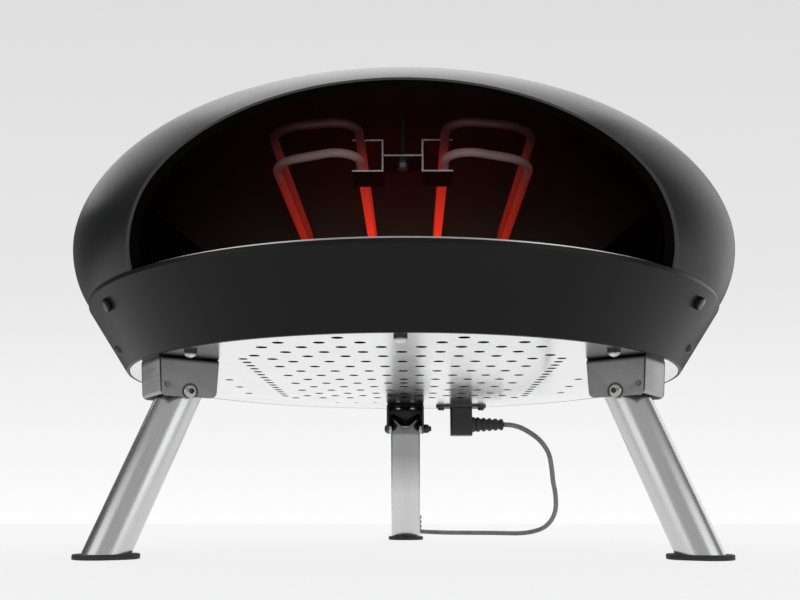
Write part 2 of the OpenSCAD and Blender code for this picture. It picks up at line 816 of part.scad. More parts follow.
module bracket_left() color("#bfc0c2") at_angle(leg_angles[0]) bracket();
module bracket_right() color("#bfc0c2") at_angle(leg_angles[1]) bracket();
module bracket_rear() color("#bfc0c2") at_angle(leg_angles[2]) bracket();

module bracket_bolts()
    color("#9fa0a3")
        for (a = leg_angles, b = bracket_bolts_at)
            at_angle(a) translate([b.x, b.y, 0]) {
                translate([0, 0, base_z - bracket_t2 - 3]) cylinder(r = 5.5, h = 3, $fn = 32);
                translate([0, 0, base_z - bracket_t2 - 1]) cylinder(r = m6_r, h = 11, $fn = 32);
            }

module bracket_nuts()
    color("#9fa0a3")
        for (a = leg_angles, b = bracket_bolts_at)
            at_angle(a) translate([b.x, b.y, base_z + plate_t])
                difference() {
                    hexagon(10, 4.4);
                    translate([0, 0, -1]) cylinder(r = m6_r + 0.02, h = 6.5, $fn = 32);
                }

// Pivot bolt: a button head on one side, a lock nut on the other
module pivot_bolt(side)
    translate([pivot_r, 0, pivot_z]) rotate([-90 * side, 0, 0]) {
        translate([0, 0, bracket_w / 2]) difference() {
            rotate_extrude($fn = 48) polygon(concat(
                [[0, 0], [5.3, 0], [5.3, 0.6]], arc([0, -2.9], 6.35, 33.4, 90, 8)
            ));
            translate([0, 0, 1.4]) hexagon(4, 4);
        }
        translate([0, 0, -bracket_w / 2 - 9]) cylinder(d = pivot_d, h = bracket_w + 9.01, $fn = 48);
    }

module pivot_nut(side)
    translate([pivot_r, 0, pivot_z]) rotate([90 * side, 0, 0])
        translate([0, 0, bracket_w / 2]) difference() {
            union() {
                hexagon(10, 5);
                cylinder(r = 4.4, h = 6.6, $fn = 32);
            }
            translate([0, 0, -1]) cylinder(d = pivot_d + 0.04, h = 9, $fn = 48);
        }

module pivot_bolts()
    color("#9fa0a3")
        for (i = [0:2]) at_angle(leg_angles[i]) pivot_bolt(head_sides[i]);

module pivot_nuts()
    color("#9fa0a3")
        for (i = [0:2]) at_angle(leg_angles[i]) pivot_nut(head_sides[i]);

// Pin across each bracket that the open leg's tube stops against
module stop_pins()
    color("#9fa0a3")
        for (a = leg_angles)
            at_angle(a) translate([stop_r, 0, stop_z]) rotate([90, 0, 0])
                cylinder(d = stop_d, h = bracket_w + 2, center = true, $fn = 32);

// Legs

pad_h = 4;
foot_r = pivot_r + (pivot_z - pad_h) * tan(leg_splay);

module on_leg() translate([pivot_r, 0, pivot_z]) rotate([0, -leg_splay, 0]) children();

module leg_tube()
    difference() {
        on_leg() difference() {
            intersection() {
                translate([0, 0, -170]) cylinder(d = leg_d, h = 170 + leg_top);
                union() {
                    rotate([90, 0, 0]) cylinder(r = leg_d / 2 - 0.1, h = 60, center = true);
                    translate([-30, -30, -180]) cube([60, 60, 180]);
                }
            }
            translate([0, 0, -171]) cylinder(d = leg_d - 2 * leg_wall, h = 173 + leg_top);
        }
        translate([pivot_r, 0, pivot_z]) rotate([90, 0, 0])
            cylinder(r = sleeve_r + 0.05, h = 60, center = true, $fn = 48);
        translate([foot_r - 80, -60, pad_h - 100]) cube([200, 120, 100]);
    }

module leg_tube_left() color("#c4c5c7") at_angle(leg_angles[0]) leg_tube();
module leg_tube_right() color("#c4c5c7") at_angle(leg_angles[1]) leg_tube();
module leg_tube_rear() color("#c4c5c7") at_angle(leg_angles[2]) leg_tube();

// Bush across the tube that turns on the pivot bolt
module leg_sleeve()
    translate([pivot_r, 0, pivot_z]) rotate([90, 0, 0]) difference() {
        cylinder(r = sleeve_r, h = bracket_w - 2 * bracket_t2 - 0.4, center = true, $fn = 48);
        cylinder(d = pivot_d + 0.15, h = bracket_w, center = true, $fn = 48);
    }

module leg_sleeve_left() color("#9fa0a3") at_angle(leg_angles[0]) leg_sleeve();
module leg_sleeve_right() color("#9fa0a3") at_angle(leg_angles[1]) leg_sleeve();
module leg_sleeve_rear() color("#9fa0a3") at_angle(leg_angles[2]) leg_sleeve();

// Rubber foot: an oval sole and a plug inside the tube
module foot_pad() {
    sole_r = 21;
    sole_stretch = 4.5;
    for (s = [-1, 1]) translate([foot_r + s * sole_stretch, 0, 0]) cylinder(r = sole_r, h = pad_h);
    translate([foot_r - sole_stretch, -sole_r, 0]) cube([2 * sole_stretch, 2 * sole_r, pad_h]);
    intersection() {
        on_leg() translate([0, 0, -170]) cylinder(d = leg_d - 2 * leg_wall - 0.2, h = 50);
        translate([foot_r - 60, -40, pad_h / 2]) cube([120, 80, 16]);
    }
}

module foot_pad_left() color("#141414") at_angle(leg_angles[0]) foot_pad();
module foot_pad_right() color("#141414") at_angle(leg_angles[1]) foot_pad();
module foot_pad_rear() color("#141414") at_angle(leg_angles[2]) foot_pad();

// Lead: angled connector, free stretch, tied hank and wall plug

boot_root = inlet_x + connector.x / 2;
boot_length = boot_end.x - boot_root;
boot_ribs = 5;

module cord_connector()
    color("#131314") {
        translate([inlet_x, inlet_y, connector_bottom]) linear_extrude(base_z - inlet_flange.z - 0.3 - connector_bottom)
            polygon(rounded([connector.x, connector.y], 4));
        translate([inlet_x, inlet_y, base_z - inlet_flange.z - 1]) difference() {
            linear_extrude(16) polygon(rounded([24.4, 16.4], 1.8));
            translate([0, 0, 1 + inlet_deep - 15]) inlet_pins(0.3);
        }
        translate([boot_root - 1, inlet_y, boot_end.z]) rotate([0, 90, 0]) rotate_extrude($fn = 32)
            polygon(concat(
                [[0, 0], [9.2, 0], [9.2, 3]],
                [for (i = [0:boot_ribs - 1]) for (e = [0:3])
                    let(s = (i + [0.45, 0.45, 1, 1][e]) / boot_ribs)
                    [(e == 1 || e == 2 ? 9 : 7.6) - 2.4 * s, 3 + (boot_length - 3) * s]],
                [[3.4, boot_length + 1], [0, boot_length + 1]]
            ));
    }

run_points = smooth(cord_route, 2);
tail_points = smooth(tail_route, 2);

module cord_run() color("#3c3d40") swept_tube(run_points, cord_d, 8);
module cord_tail() color("#3c3d40") swept_tube(tail_points, cord_d, 8);

// One point of the hank. A loop is a run away, a fold, a climbing run back and a fold.
function hank_side(s) = hank_fold - (hank_fold - hank_waist) * pow(sin(180 * s), 2);
function hank_point(loop, k) =
    let(z = hank_base_z + loop * hank_rise)
    k < 8 ? [hank_x + hank_side(k / 8), hank_y + hank_run * k / 8, z]
    : k < 12 ? let(a = 45 * (k - 8))
        [hank_x + hank_fold * cos(a), hank_y + hank_run + hank_fold * sin(a), z]
    : k < 20 ? let(s = (k - 12) / 8)
        [hank_x - hank_side(s), hank_y + hank_run * (1 - s), z + hank_rise * s]
    : let(a = 180 + 45 * (k - 20))
        [hank_x + hank_fold * cos(a), hank_y + hank_fold * sin(a), z + hank_rise];
hank_points = concat(
    [for (loop = [0:hank_loops - 1]) for (k = [0:23])
        if (loop < hank_loops - 1 || k < 20) hank_point(loop, k)],
    [[hank_x - hank_fold, hank_y, hank_top_z]]
);

// Least gap of the hank to itself, measured on its points, leaving out neighbours along the lead
function least(list) = min([for (v = list) v]);
hank_gap = least([for (i = [0:len(hank_points) - 1]) for (j = [i + 10:len(hank_points) - 1])
    norm(hank_points[i] - hank_points[j]) - cord_d]);
echo(hank_gap = hank_gap);

module cord_hank() color("#3c3d40") swept_tube(hank_points, cord_d, 6);

// Strap round the hank's waist
module cord_tie()
    color("#1a1a1b")
        translate([hank_x, hank_y + hank_run / 2, 0]) rotate([90, 0, 0])
            linear_extrude(12, center = true) difference() {
                translate([0, 17.3]) polygon(rounded([27.4, 34.4], 4));
                translate([0, 17.3]) polygon(rounded([25.2, 32.2], 3));
            }

module wall_plug()
    color("#1a1a1b")
        translate([0, plug_y, plug_r]) rotate([90, 0, 0]) {
            rotate_extrude($fn = 64) polygon([
                [0, 0], [3.6, 0], [4.6, 4], [4.8, 22], [9, 27], [13, 33], [16.5, 39],
                [plug_r, 42], [plug_r, 56], [17.3, 58], [0, 58]
            ]);
            for (s = [-1, 1]) translate([s * 9.5, 0, 57.9]) {
                cylinder(r = 2.4, h = 17.6, $fn = 32);
                translate([0, 0, 17.6]) cylinder(r1 = 2.4, r2 = 1.4, h = 1.5, $fn = 32);
            }
        }

placed() outer_dome();
placed() mouth_frame();
placed() dome_insulation();
placed() ceiling_liner();
placed() cavity_wall();
placed() joining_ring();
placed() floor_tray();
placed() tray_gasket();
placed() floor_frame();
placed() skirt();
placed() skirt_tabs();
placed() skirt_bolts();
placed() skirt_screws();
placed() bottom_plate();
placed() plate_bolts();
placed() plate_nuts();
placed() baking_stone();
placed() stone_rests();
placed() heater_upper_left();
placed() heater_upper_right();
placed() heater_lower_left();
placed() heater_lower_right();
placed() heater_bracket();
placed() hanger_stud();
placed() hanger_nut();
placed() base_heater();
placed() base_heater_clips();
placed() base_insulation();
placed() heat_shield();
placed() terminal_block();
placed() terminal_screws();
placed() thermostat();
placed() thermal_cutout();
placed() internal_wiring();
placed() mains_inlet();
placed() inlet_screws();
placed() bracket_left();
placed() bracket_right();
placed() bracket_rear();
placed() bracket_bolts();
placed() bracket_nuts();
placed() pivot_bolts();
placed() pivot_nuts();
placed() stop_pins();
placed() leg_tube_left();
placed() leg_tube_right();
placed() leg_tube_rear();
placed() leg_sleeve_left();
placed() leg_sleeve_right();
placed() leg_sleeve_rear();
placed() foot_pad_left();
placed() foot_pad_right();
placed() foot_pad_rear();
placed() cord_connector();
placed() cord_run();
placed() cord_hank();
placed() cord_tail();
placed() cord_tie();
placed() wall_plug();
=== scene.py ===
import bpy
import math
from mathutils import Matrix, Vector


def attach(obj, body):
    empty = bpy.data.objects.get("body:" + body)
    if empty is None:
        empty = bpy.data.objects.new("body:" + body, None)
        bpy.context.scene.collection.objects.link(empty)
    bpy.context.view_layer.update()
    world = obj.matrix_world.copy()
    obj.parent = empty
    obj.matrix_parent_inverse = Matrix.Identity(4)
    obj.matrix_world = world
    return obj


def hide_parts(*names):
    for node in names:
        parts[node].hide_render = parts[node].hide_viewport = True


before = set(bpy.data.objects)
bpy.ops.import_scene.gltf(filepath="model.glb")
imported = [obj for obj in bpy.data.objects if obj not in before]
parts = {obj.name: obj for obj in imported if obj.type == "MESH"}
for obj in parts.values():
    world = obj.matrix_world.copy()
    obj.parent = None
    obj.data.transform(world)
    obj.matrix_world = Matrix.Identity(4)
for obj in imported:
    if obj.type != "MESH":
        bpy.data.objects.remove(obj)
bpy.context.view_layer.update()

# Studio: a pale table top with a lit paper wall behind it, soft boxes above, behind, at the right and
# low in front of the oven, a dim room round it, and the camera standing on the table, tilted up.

scene = bpy.context.scene
scene.view_settings.view_transform = "Standard"

# The oven's upright axis in the frame
axis_y = -0.0085


def grey(level):
    return (level, level, level)


def new_material(name):
    material = bpy.data.materials.new(name)
    material.use_nodes = True
    tree = material.node_tree
    shader = tree.nodes["Principled BSDF"]
    return material, tree, shader


def place_coordinates(tree, scale=(1, 1, 1), turn=(0, 0, 0), centre=(0, 0, 0)):
    coordinates = tree.nodes.new("ShaderNodeTexCoord")
    turned = tree.nodes.new("ShaderNodeMapping")
    turned.vector_type = "TEXTURE"
    turned.inputs["Location"].default_value = centre
    turned.inputs["Rotation"].default_value = turn
    stretched = tree.nodes.new("ShaderNodeMapping")
    stretched.inputs["Scale"].default_value = scale
    tree.links.new(coordinates.outputs["Object"], turned.inputs["Vector"])
    tree.links.new(turned.outputs["Vector"], stretched.inputs["Vector"])
    return stretched.outputs["Vector"]


def speckle(tree, vector, size, detail=3, rough=0.5):
    noise = tree.nodes.new("ShaderNodeTexNoise")
    noise.inputs["Scale"].default_value = size
    noise.inputs["Detail"].default_value = detail
    noise.inputs["Roughness"].default_value = rough
    tree.links.new(vector, noise.inputs["Vector"])
    return noise.outputs["Fac"]


def ramp(tree, factor, stops):
    made = tree.nodes.new("ShaderNodeValToRGB")
    while len(made.color_ramp.elements) < len(stops):
        made.color_ramp.elements.new(0.5)
    for element, (place, colour) in zip(made.color_ramp.elements, stops):
        element.position = place
        element.color = (*colour, 1)
    tree.links.new(factor, made.inputs["Fac"])
    return made.outputs["Color"]


def spread(tree, factor, low, high, from_low=0.3, from_high=0.7):
    made = tree.nodes.new("ShaderNodeMapRange")
    made.inputs["From Min"].default_value = from_low
    made.inputs["From Max"].default_value = from_high
    made.inputs["To Min"].default_value = low
    made.inputs["To Max"].default_value = high
    tree.links.new(factor, made.inputs["Value"])
    return made.outputs["Result"]


def calculate(tree, operation, *values):
    made = tree.nodes.new("ShaderNodeMath")
    made.operation = operation
    for socket, value in zip(made.inputs, values):
        if isinstance(value, (int, float)):
            socket.default_value = value
        else:
            tree.links.new(value, socket)
    return made.outputs["Value"]


def split_axes(tree, vector):
    made = tree.nodes.new("ShaderNodeSeparateXYZ")
    tree.links.new(vector, made.inputs["Vector"])
    return made.outputs


bpy.ops.object.select_all(action="DESELECT")
bpy.ops.mesh.primitive_plane_add(size=1)
table = bpy.context.object
table.name = "table_top"
table.data.transform(Matrix.Translation((0, 0.1, -0.0002)) @ Matrix.Diagonal((6, 2.4, 1, 1)))
table_paint, tree, shader = new_material("table_paint")
table.data.materials.append(table_paint)
soft_tone = speckle(tree, place_coordinates(tree), 1.5)
tree.links.new(
    ramp(tree, soft_tone, [(0.3, grey(0.86)), (0.7, grey(0.9))]), shader.inputs["Base Color"]
)
shader.inputs["Roughness"].default_value = 0.8
shader.inputs["Specular IOR Level"].default_value = 0.1

# The camera and bright metal see the table top mostly by its own glow, so its shadows stay weak
table_glow = 0.93
glow_share = 0.88
glow = tree.nodes.new("ShaderNodeEmission")
glow.inputs["Color"].default_value = (*grey(table_glow), 1)
ray = tree.nodes.new("ShaderNodeLightPath")
seen = calculate(tree, "MAXIMUM", ray.outputs["Is Camera Ray"], ray.outputs["Is Glossy Ray"])
both = tree.nodes.new("ShaderNodeMixShader")
tree.links.new(calculate(tree, "MULTIPLY", seen, glow_share), both.inputs["Fac"])
tree.links.new(shader.outputs["BSDF"], both.inputs[1])
tree.links.new(glow.outputs["Emission"], both.inputs[2])
tree.links.new(both.outputs["Shader"], tree.nodes["Material Output"].inputs["Surface"])

bpy.ops.object.select_all(action="DESELECT")
bpy.ops.mesh.primitive_plane_add(size=1)
wall = bpy.context.object
wall.name = "paper_wall"
wall.data.transform(
    Matrix.Translation((0, 3.0, 1.5))
    @ Matrix.Rotation(math.pi / 2, 4, "X")
    @ Matrix.Diagonal((4.4, 7, 1, 1))
)
wall_paint, tree, shader = new_material("wall_paint")
wall.data.materials.append(wall_paint)
axes = split_axes(tree, place_coordinates(tree))
fade = ramp(
    tree, spread(tree, axes["Z"], 0, 1, 0.0, 2.4),
    [(0.0, grey(0.985)), (0.1, grey(0.93)), (0.4, grey(0.81)), (1.0, grey(0.735))],
)
ray = tree.nodes.new("ShaderNodeLightPath")
to_sides = spread(tree, calculate(tree, "ABSOLUTE", axes["X"]), 1.0, 0.15, 0.8, 1.5)
glow = tree.nodes.new("ShaderNodeEmission")
tree.links.new(fade, glow.inputs["Color"])
tree.links.new(
    calculate(tree, "MAXIMUM", to_sides, ray.outputs["Is Camera Ray"]), glow.inputs["Strength"]
)
tree.links.new(glow.outputs["Emission"], tree.nodes["Material Output"].inputs["Surface"])

world = bpy.data.worlds.new("studio_air")
scene.world = world
world.use_nodes = True
air = world.node_tree
sky = air.nodes.new("ShaderNodeTexCoord")
to_back = split_axes(air, sky.outputs["Generated"])["Y"]
dim_room = ramp(
    air, spread(air, to_back, 0, 1, -1, 1),
    [(0.0, grey(0.5)), (0.35, grey(0.32)), (0.6, grey(0.09)), (0.8, grey(0.09)), (1.0, grey(0.45))],
)
air.links.new(dim_room, air.nodes["Background"].inputs["Color"])
pale = air.nodes.new("ShaderNodeBackground")
pale.inputs["Color"].default_value = (*grey(0.8), 1)
ray = air.nodes.new("ShaderNodeLightPath")
either = air.nodes.new("ShaderNodeMixShader")
air.links.new(ray.outputs["Is Camera Ray"], either.inputs["Fac"])
air.links.new(air.nodes["Background"].outputs["Background"], either.inputs[1])
air.links.new(pale.outputs["Background"], either.inputs[2])
air.links.new(either.outputs["Shader"], air.nodes["World Output"].inputs["Surface"])


def soft_box(name, place, aim, width, height, power, mirrored=True):
    light = bpy.data.lights.new(name, "AREA")
    light.shape = "RECTANGLE"
    light.size = width
    light.size_y = height
    light.energy = power
    lamp = bpy.data.objects.new(name, light)
    scene.collection.objects.link(lamp)
    lamp.location = place
    lamp.rotation_euler = (Vector(aim) - Vector(place)).to_track_quat("-Z", "Y").to_euler()
    lamp.visible_camera = False
    lamp.visible_glossy = mirrored


soft_box("ceiling_box", (0, 0.5, 2.2), (0, 0.1, 0.3), 2.4, 1.8, 24)
soft_box("back_box", (-0.55, 1.7, 1.95), (0, 0, 0.35), 4.6, 1.7, 33)
soft_box("right_box", (1.9, 1.2, 1.25), (0, 0, 0.6), 1.6, 2.45, 13.5)
soft_box("low_left_box", (-1.3, -1.0, 0.4), (0, 0, 0.15), 1.1, 0.8, 2.4)
soft_box("low_right_box", (1.3, -1.0, 0.4), (0, 0, 0.15), 1.1, 0.8, 3.0)
soft_box("front_box", (0, -1.6, 0.12), (0, 0.1, 0.36), 0.9, 0.4, 8.5, mirrored=False)

picture_px = 800
focal_px = 924.4
camera_tilt = 12.6
camera_turn = 0.013
lens = bpy.data.cameras.new("camera")
lens.sensor_width = 36
lens.lens = lens.sensor_width * focal_px / picture_px
lens.clip_start = 0.01
camera = bpy.data.objects.new("camera", lens)
scene.collection.objects.link(camera)
camera.location = (0.008, -0.892 + axis_y, 0.0393)
camera.rotation_euler = (math.radians(90 + camera_tilt), 0, camera_turn)
scene.camera = camera

# Lead: an angled black connector with a ribbed boot, a round rubber-sheathed flex of 6 mm that falls
# to the table and lies behind the rear leg as a hank in a strap, and a round two-pin wall plug.


def raise_grain(tree, shader, height, strength, distance):
    bump = tree.nodes.new("ShaderNodeBump")
    bump.inputs["Strength"].default_value = strength
    bump.inputs["Distance"].default_value = distance
    tree.links.new(height, bump.inputs["Height"])
    tree.links.new(bump.outputs["Normal"], shader.inputs["Normal"])


def moulded_plastic(name, tone, rough, grain=0.00005):
    plastic, tree, shader = new_material(name)
    place = place_coordinates(tree)
    spark = speckle(tree, place, 2600, 2, 0.5)
    patch = speckle(tree, place, 35, 3)
    darker = tuple(0.75 * c for c in tone)
    lighter = tuple(1.3 * c for c in tone)
    tree.links.new(ramp(tree, patch, [(0.3, darker), (0.7, lighter)]), shader.inputs["Base Color"])
    tree.links.new(spread(tree, spark, rough - 0.07, rough + 0.09), shader.inputs["Roughness"])
    raise_grain(tree, shader, spark, 0.35, grain)
    return plastic


# A node's own shape with its sharp edges eased, as pressing and moulding leave them
def eased(name, body, material, width, sharp=35):
    mesh = parts[name].data.copy()
    piece = bpy.data.objects.new(name + "_eased", mesh)
    scene.collection.objects.link(piece)
    bpy.ops.object.select_all(action="DESELECT")
    piece.select_set(True)
    bpy.context.view_layer.objects.active = piece
    bpy.ops.object.mode_set(mode="EDIT")
    bpy.ops.mesh.select_all(action="SELECT")
    bpy.ops.mesh.remove_doubles(threshold=0.000002)
    bpy.ops.mesh.dissolve_limited(angle_limit=math.radians(0.6))
    bpy.ops.object.mode_set(mode="OBJECT")
    edge = piece.modifiers.new("edge", "BEVEL")
    edge.width = width
    edge.segments = 2
    edge.limit_method = "ANGLE"
    edge.angle_limit = math.radians(sharp)
    edge.use_clamp_overlap = True
    bpy.ops.object.modifier_apply(modifier="edge")
    bpy.ops.object.shade_smooth_by_angle(angle=math.radians(32))
    mesh.materials.clear()
    mesh.materials.append(material)
    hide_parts(name)
    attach(piece, body)
    return piece


connector = eased(
    "cord_connector", "oven", moulded_plastic("connector_plastic", (0.005, 0.005, 0.0053), 0.45), 0.0006
)
strap = eased("cord_tie", "oven", moulded_plastic("tie_plastic", (0.02, 0.02, 0.021), 0.5), 0.0003)
plug = eased("wall_plug", "oven", moulded_plastic("plug_plastic", (0.018, 0.018, 0.019), 0.42), 0.0005)
plug_face_y = 0.377 + axis_y
pin_nickel, tree, shader = new_material("nickel_pin")
wear = speckle(tree, place_coordinates(tree, (400, 90, 400)), 1.0, 4)
pin_tone = ramp(tree, wear, [(0.3, (0.6, 0.57, 0.5)), (0.7, (0.76, 0.74, 0.69))])
tree.links.new(pin_tone, shader.inputs["Base Color"])
tree.links.new(spread(tree, wear, 0.18, 0.34), shader.inputs["Roughness"])
shader.inputs["Metallic"].default_value = 1.0
plug.data.materials.append(pin_nickel)
for face in plug.data.polygons:
    if face.center.y < plug_face_y - 0.0004:
        face.material_index = 1

lead_d = 0.006
lead_down = [
    (118, 226, 135.5), (130, 228, 134.6), (144, 233, 130), (162, 243, 119), (175, 257, 103.5),
    (181, 275, 85), (184.5, 291, 70.5), (190, 312, 55), (193.5, 337, 37), (192, 364, 23),
    (185, 391, 12), (172, 417, 5.8), (155, 437, 3.2), (133, 452, 3.1), (109, 462, 3.1),
    (84, 468, 3.1), (60, 471, 3.2), (41, 475, 3.6), (26, 484, 4), (19.5, 500, 4.2),
    (19, 521, 4.2),
]
lead_up = [
    (-17, 521, 30.8), (-17, 510, 30.9), (-16.6, 497, 30.5), (-14, 483, 28.4), (-9.5, 470, 24.5),
    (-4.5, 457, 21), (-1, 446, 18.8), (0, 435, 18),
]


def smooth_route(route, steps):
    points = [Vector(p) for p in route]
    line = []
    for i in range(len(points) - 1):
        a, b = points[max(i - 1, 0)], points[i]
        c, d = points[i + 1], points[min(i + 2, len(points) - 1)]
        for k in range(steps):
            t = k / steps
            line.append(
                0.5 * (2 * b + (c - a) * t + (2 * a - 5 * b + 4 * c - d) * t**2
                       + (3 * b - a - 3 * c + d) * t**3)
            )
    return line + [points[-1]]


def hank_line(loops, fold, waist, run, rise, start, per_run, per_fold):
    def side(s):
        return fold - (fold - waist) * math.sin(math.pi * s) ** 2

    line = []
    for loop in range(loops):
        z = start[2] + loop * rise
        for k in range(per_run):
            s = k / per_run
            line.append(Vector((start[0] + side(s), start[1] + run * s, z)))
        for k in range(per_fold):
            a = math.pi * k / per_fold
            line.append(Vector((start[0] + fold * math.cos(a), start[1] + run + fold * math.sin(a), z)))
        for k in range(per_run):
            s = k / per_run
            line.append(Vector((start[0] - side(s), start[1] + run * (1 - s), z + rise * s)))
        if loop < loops - 1:
            for k in range(per_fold):
                a = math.pi + math.pi * k / per_fold
                line.append(
                    Vector((start[0] + fold * math.cos(a), start[1] + fold * math.sin(a), z + rise))
                )
    return line


lead_line = (
    smooth_route(lead_down, 4)[:-1]
    + hank_line(
        loops=4, fold=18, waist=9, run=100, rise=6.65, start=(1, 521, 4.2), per_run=12, per_fold=10
    )
    + smooth_route(lead_up, 4)
)
lead_line = [(p + Vector((0, 1000 * axis_y, 0))) / 1000 for p in lead_line]
flex = bpy.data.curves.new("mains_cord", "CURVE")
flex.dimensions = "3D"
flex.bevel_depth = lead_d / 2
flex.bevel_resolution = 3
flex.use_fill_caps = True
strand = flex.splines.new("POLY")
strand.points.add(len(lead_line) - 1)
for point, place in zip(strand.points, lead_line):
    point.co = (*place, 1)
strand.use_smooth = True
mains_cord = bpy.data.objects.new("mains_cord", flex)
scene.collection.objects.link(mains_cord)
bpy.ops.object.select_all(action="DESELECT")
mains_cord.select_set(True)
bpy.context.view_layer.objects.active = mains_cord
bpy.ops.object.convert(target="MESH")
mains_cord = bpy.context.object
mains_cord.name = "mains_cord"
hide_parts("cord_run", "cord_hank", "cord_tail")
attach(mains_cord, "oven")

cord_rubber, tree, shader = new_material("cord_rubber")
mains_cord.data.materials.clear()
mains_cord.data.materials.append(cord_rubber)
place = place_coordinates(tree)
fine = speckle(tree, place, 2200, 4, 0.6)
tree.links.new(
    ramp(tree, speckle(tree, place, 60), [(0.3, (0.11, 0.11, 0.114)), (0.7, (0.16, 0.16, 0.165))]),
    shader.inputs["Base Color"],
)
tree.links.new(spread(tree, fine, 0.42, 0.6), shader.inputs["Roughness"])
raise_grain(tree, shader, fine, 0.25, 0.0001)

# Base plate: a disc of 1.2 mm stainless sheet, punched with rows of 9 mm holes and brushed one way.
# Domed cap nuts on M6 bolts hold it to the skirt's inner flange.

base_z = 0.158
plate_r = 0.2554


def cover(material, *names):
    for name in names:
        parts[name].data.materials.clear()
        parts[name].data.materials.append(material)


def brushed_metal(name, tones, rough, stretch, turn=(0, 0, 0), centre=(0, 0, 0), depth=0.2):
    metal, tree, shader = new_material(name)
    along = place_coordinates(tree, stretch, turn, centre)
    lines = speckle(tree, along, 1.0, 5, 0.65)
    cloudy = speckle(tree, place_coordinates(tree), 22, 3)
    tree.links.new(ramp(tree, lines, [(0.32, tones[0]), (0.68, tones[1])]), shader.inputs["Base Color"])
    dullness = calculate(
        tree, "MULTIPLY", spread(tree, lines, 0.8, 1.2), spread(tree, cloudy, rough[0], rough[1])
    )
    tree.links.new(dullness, shader.inputs["Roughness"])
    shader.inputs["Metallic"].default_value = 1.0
    raise_grain(tree, shader, lines, depth, 0.00004)
    return metal


def mix_tones(tree, share, first, second, blend="MIX"):
    made = tree.nodes.new("ShaderNodeMix")
    made.data_type = "RGBA"
    made.blend_type = blend
    tree.links.new(share, made.inputs["Factor"])
    for tone, socket in ((first, made.inputs["A"]), (second, made.inputs["B"])):
        if isinstance(tone, tuple):
            socket.default_value = (*tone, 1)
        else:
            tree.links.new(tone, socket)
    return made.outputs["Result"]


# Lays another tone over the colour of a finish, as far as the share says
def overpaint(finish, share, tone, blend="MIX"):
    tree = finish.node_tree
    colour = tree.nodes["Principled BSDF"].inputs["Base Color"]
    tree.links.new(mix_tones(tree, share, colour.links[0].from_socket, tone, blend), colour)


# Steel that darkens with height, where the base above keeps the light off it
def shade_above(finish, low, high, least):
    tree = finish.node_tree
    height = split_axes(tree, place_coordinates(tree))["Z"]
    overpaint(finish, spread(tree, height, 0, 1, low, high), grey(least), "MULTIPLY")


# How far a face of a piece looks along one axis
def facing(tree, axis):
    coordinates = tree.nodes.new("ShaderNodeTexCoord")
    return split_axes(tree, coordinates.outputs["Normal"])[axis]


def distance_from(tree, centre, scale=(1, 1, 1), turn=(0, 0, 0)):
    made = tree.nodes.new("ShaderNodeVectorMath")
    made.operation = "LENGTH"
    tree.links.new(place_coordinates(tree, scale, turn, centre), made.inputs[0])
    return made.outputs["Value"]


plate_steel = brushed_metal(
    "plate_steel", [(0.8, 0.8, 0.805), (0.88, 0.88, 0.885)], (0.17, 0.24), (14, 1500, 1500), depth=0.08
)
tree = plate_steel.node_tree
from_axis = distance_from(tree, (0, axis_y, 0), (1, 1, 0))
# The walls of the punched holes are painted near black, as painted shade inside the holes
hole_wall_shade = calculate(
    tree, "MINIMUM", spread(tree, calculate(tree, "ABSOLUTE", facing(tree, "Z")), 1, 0, 0.4, 0.6),
    spread(tree, from_axis, 1, 0, plate_r - 0.0054, plate_r - 0.0034),
)
overpaint(plate_steel, hole_wall_shade, (0.03, 0.03, 0.031))
cover(plate_steel, "bottom_plate")

plated_steel = brushed_metal(
    "plated_steel", [(0.36, 0.36, 0.35), (0.48, 0.48, 0.46)], (0.2, 0.28), (90, 90, 90), depth=0.02
)
cover(plated_steel, "plate_bolts")
cap_steel = brushed_metal(
    "cap_steel", [(0.6, 0.6, 0.59), (0.74, 0.74, 0.73)], (0.14, 0.2), (90, 90, 90), depth=0.02
)
shade_above(cap_steel, base_z - 0.004, base_z - 0.0024, 0.06)
cap_nuts = eased("plate_nuts", "oven", cap_steel, 0.0003)

# Inlet: an appliance socket of black moulded plastic in the plate's back, facing down,
# held by two small dark screws.

cover(moulded_plastic("inlet_plastic", (0.016, 0.016, 0.017), 0.45), "mains_inlet")
dark_screw = moulded_plastic("dark_screw", (0.03, 0.03, 0.031), 0.35, 0.00002)
cover(dark_screw, "inlet_screws", "terminal_screws")

# Inside the base: zinc-coated rings, tabs and clips, a heat shield folded from blued sheet with
# mineral wool on it, and a terminal block, a thermostat and a cut-out joined by sleeved wires.

zinc_steel, tree, shader = new_material("zinc_coated_steel")
spangle = tree.nodes.new("ShaderNodeTexVoronoi")
spangle.inputs["Scale"].default_value = 160
tree.links.new(place_coordinates(tree), spangle.inputs["Vector"])
tree.links.new(
    ramp(tree, spangle.outputs["Color"], [(0.2, (0.42, 0.43, 0.44)), (0.8, (0.6, 0.61, 0.62))]),
    shader.inputs["Base Color"],
)
tree.links.new(spread(tree, spangle.outputs["Color"], 0.3, 0.5, 0.0, 1.0), shader.inputs["Roughness"])
shader.inputs["Metallic"].default_value = 1.0
cover(zinc_steel, "joining_ring", "floor_frame", "skirt_tabs", "base_heater_clips", "hanger_nut")
blued_steel = brushed_metal(
    "blued_steel", [(0.01, 0.01, 0.011), (0.02, 0.02, 0.022)], (0.45, 0.6), (200, 200, 200)
)
cover(blued_steel, "heat_shield")

mineral_wool, tree, shader = new_material("mineral_wool")
fibres = speckle(tree, place_coordinates(tree, (900, 260, 900)), 1.0, 6, 0.7)
tree.links.new(
    ramp(tree, fibres, [(0.3, (0.5, 0.46, 0.36)), (0.7, (0.78, 0.74, 0.64))]), shader.inputs["Base Color"]
)
shader.inputs["Roughness"].default_value = 0.95
raise_grain(tree, shader, fibres, 0.9, 0.001)
cover(mineral_wool, "base_insulation", "dome_insulation")


